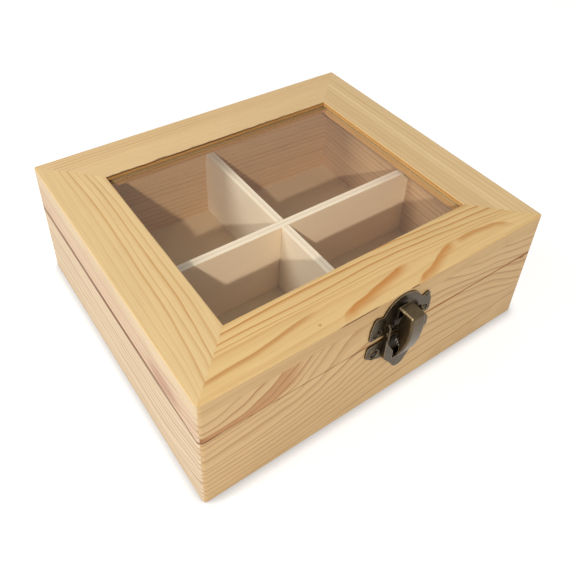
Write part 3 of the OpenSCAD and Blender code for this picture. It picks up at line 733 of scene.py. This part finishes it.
class TEABOX_OT_latch(Operator):
    """Finish the latch: plates, lever, pin, spring and nails"""

    bl_idname = "teabox.latch"
    bl_label = "Latch"

    def execute(self, context):
        edge = context.scene.tea_box_metal.edge
        plate = aged_bronze("bronze_plate", (80, 68, 50), (206, 180, 138), 0.35)
        lever = aged_bronze("bronze_lever", (94, 80, 58), (226, 204, 164), 0.32, 0.0005)
        nail = aged_bronze("bronze_nail", (62, 50, 38), (160, 136, 104), 0.4)
        wire = aged_bronze("spring_wire", (120, 112, 104), (200, 190, 180), 0.3)
        finishes = {"catch_plate": plate, "latch_housing": plate, "latch_lever": lever,
                    "latch_pin": nail}
        for node, material in finishes.items():
            dress(soft_copy(node, "metal_" + node, edge), material)
        for node in ("catch_nails", "latch_nails"):
            dress(soft_copy(node, "metal_" + node), nail)
        spring = soft_copy("latch_spring", "metal_latch_spring")
        dress(spring, wire)
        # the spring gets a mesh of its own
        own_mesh(spring)
        return {"FINISHED"}


class TEABOX_OT_hinges(Operator):
    """Finish the two butt hinges and their nails"""

    bl_idname = "teabox.hinges"
    bl_label = "Hinges"

    def execute(self, context):
        edge = context.scene.tea_box_metal.edge
        leaf = aged_bronze("bronze_hinge", (76, 65, 50), (186, 160, 122), 0.38)
        nail = aged_bronze("bronze_hinge_nail", (74, 62, 52), (160, 138, 112), 0.4)
        for side in ("left", "right"):
            for part in ("base_leaf", "lid_leaf"):
                node = f"hinge_{side}_{part}"
                dress(soft_copy(node, "metal_" + node, edge), leaf)
            dress(soft_copy(f"hinge_{side}_pin", f"metal_hinge_{side}_pin"), nail)
        for node in ("hinge_base_nails", "hinge_lid_nails"):
            dress(soft_copy(node, "metal_" + node), nail)
        return {"FINISHED"}


# name, place, aim, width, power and colour
LAMPS = (
    ("window_light", (-0.75, 0.30, 0.78), (0.0, 0.0, 0.04), 0.45, 5.5, (1.0, 0.99, 0.975)),
    ("spot", (-0.52, -0.80, 0.67), (0.0, 0.0, 0.03), 0.03, 6.2, (1.0, 0.96, 0.91)),
)
SKY_LIGHT = 0.42  # strength of the sky on matt surfaces
FLOOR_HALF = 3.0  # metres
AIM = Vector((0.062761, 0.068447, 0.0))  # the point on the floor that the camera turns round
PICTURE = 576.0  # the picture's width and height in pixels
AXIS_X, AXIS_Y = 298.42, 188.09  # the pixel that the camera's axis meets


def area_light(name, place, aim, width, power, colour):
    data = bpy.data.lights.new(name, "AREA")
    data.shape = "RECTANGLE"
    data.size = data.size_y = width
    data.energy = power
    data.color = colour
    lamp = bpy.data.objects.new(name, data)
    lamp.visible_camera = False
    lamp.location = place
    lamp.rotation_euler = (Vector(aim) - Vector(place)).to_track_quat("-Z", "Y").to_euler()
    bpy.context.scene.collection.objects.link(lamp)


def grey(level):
    return (level, level, level, 1.0)


def white_floor():
    """Pale floor that reads white to the camera and keeps the box's shadow, with a painted contact shadow
    that darkens it most at the box's foot.
    """
    s = Shader("pale_floor")
    pale = s.surface(grey(0.7), 0.9, shine=0.1)
    # painted contact shadow: ambient occlusion darkens the floor's colour and glow near the box
    open_air = s.node("ShaderNodeAmbientOcclusion", {"samples": 8}, {"Distance": 0.0075}, output="AO")
    tone = s.mix(open_air.smooth(0.45, 1.0), grey(0.55), grey(1.0))
    shade = s.surface(s.mix(1.0, tone, grey(0.6), "MULTIPLY"), 0.9, shine=0.0)
    glow = s.node("ShaderNodeEmission", {}, {"Color": tone, "Strength": 0.62})
    lit = s.node("ShaderNodeAddShader", {}, {0: shade, 1: glow})
    camera, mirror, glass = (s.node("ShaderNodeLightPath", {}, {}, output=f"Is {kind} Ray")
                             for kind in ("Camera", "Glossy", "Transmission"))
    seen = camera.math("MAXIMUM", mirror).math("MAXIMUM", glass)
    return s.finish(s.mix_shader(seen, pale, lit))


def studio_sky():
    """World that is white to the camera, mirrors and glass, and weaker as a lamp."""
    world = bpy.data.worlds.new("studio")
    world.use_nodes = True
    nodes, links = world.node_tree.nodes, world.node_tree.links
    nodes.clear()
    path = nodes.new("ShaderNodeLightPath")
    mirrored, seen = nodes.new("ShaderNodeMath"), nodes.new("ShaderNodeMath")
    mirrored.operation = seen.operation = "MAXIMUM"
    links.new(path.outputs["Is Glossy Ray"], mirrored.inputs[0])
    links.new(path.outputs["Is Transmission Ray"], mirrored.inputs[1])
    links.new(path.outputs["Is Camera Ray"], seen.inputs[0])
    links.new(mirrored.outputs[0], seen.inputs[1])
    strength = nodes.new("ShaderNodeMapRange")
    strength.inputs["To Min"].default_value = SKY_LIGHT
    strength.inputs["To Max"].default_value = 1.0
    links.new(seen.outputs[0], strength.inputs["Value"])
    sky = nodes.new("ShaderNodeBackground")
    sky.inputs["Color"].default_value = (1.0, 0.99, 0.97, 1.0)
    links.new(strength.outputs[0], sky.inputs["Strength"])
    out = nodes.new("ShaderNodeOutputWorld")
    links.new(sky.outputs[0], out.inputs["Surface"])
    return world


def photo_camera(look):
    """Camera at the photograph's angle."""
    a, e = look.azimuth, look.elevation
    back = Vector((math.sin(a) * math.cos(e), -math.cos(a) * math.cos(e), math.sin(e)))
    right = (-back).cross(Vector((0.0, 0.0, 1.0))).normalized()
    up = right.cross(-back)
    c, t = math.cos(look.roll), math.sin(look.roll)
    right, up = c * right + t * up, c * up - t * right
    camera = bpy.data.objects.new("camera", bpy.data.cameras.new("camera"))
    turn = Matrix((right, up, back)).transposed().to_4x4()
    camera.matrix_world = Matrix.Translation(AIM + back * look.distance) @ turn
    camera.data.lens = look.lens
    camera.data.sensor_width = 36.0
    camera.data.shift_x = -(AXIS_X - PICTURE / 2) / PICTURE
    camera.data.shift_y = (AXIS_Y - PICTURE / 2) / PICTURE
    camera.data.clip_start = 0.01
    return camera


class TEABOX_OT_stage(Operator):
    """Set up the floor, the lamps, the sky and the camera"""

    bl_idname = "teabox.stage"
    bl_label = "Stage"

    def execute(self, context):
        scene = context.scene
        mesh = bpy.data.meshes.new("floor")
        shape = bmesh.new()
        bmesh.ops.create_grid(shape, x_segments=2, y_segments=2, size=FLOOR_HALF)
        shape.to_mesh(mesh)
        shape.free()
        floor = bpy.data.objects.new("floor", mesh)
        scene.collection.objects.link(floor)
        dress(floor, white_floor())
        scene.world = studio_sky()
        for lamp in LAMPS:
            area_light(*lamp)
        scene.camera = photo_camera(scene.tea_box_stage)
        scene.collection.objects.link(scene.camera)
        scene.view_settings.view_transform = "Standard"
        return {"FINISHED"}


class TEABOX_PT_sidebar(Panel):
    """Steps that finish the tea bag box"""

    bl_idname = "TEABOX_PT_sidebar"
    bl_label = "Tea Box"
    bl_space_type = "VIEW_3D"
    bl_region_type = "UI"
    bl_category = "Tea Box"

    def draw(self, context):
        layout = self.layout
        scene = context.scene
        for group in (scene.tea_box_wood, scene.tea_box_metal, scene.tea_box_stage):
            for key in group.__annotations__:
                layout.prop(group, key)
        for step in STEPS:
            layout.operator(step.bl_idname)


STEPS = (TEABOX_OT_stage, TEABOX_OT_boards, TEABOX_OT_inside, TEABOX_OT_glass, TEABOX_OT_latch,
         TEABOX_OT_hinges)
CLASSES = (WoodSettings, MetalSettings, StageSettings) + STEPS + (TEABOX_PT_sidebar,)


def register():
    for cls in CLASSES:
        bpy.utils.register_class(cls)
    bpy.types.Scene.tea_box_wood = PointerProperty(type=WoodSettings)
    bpy.types.Scene.tea_box_metal = PointerProperty(type=MetalSettings)
    bpy.types.Scene.tea_box_stage = PointerProperty(type=StageSettings)


def unregister():
    del bpy.types.Scene.tea_box_stage
    del bpy.types.Scene.tea_box_metal
    del bpy.types.Scene.tea_box_wood
    for cls in reversed(CLASSES):
        bpy.utils.unregister_class(cls)


def main():
    register()
    bpy.ops.teabox.stage()
    bpy.ops.teabox.boards()
    bpy.ops.teabox.inside()
    bpy.ops.teabox.glass()
    bpy.ops.teabox.latch()
    bpy.ops.teabox.hinges()


if __name__ == "__main__":
    main()
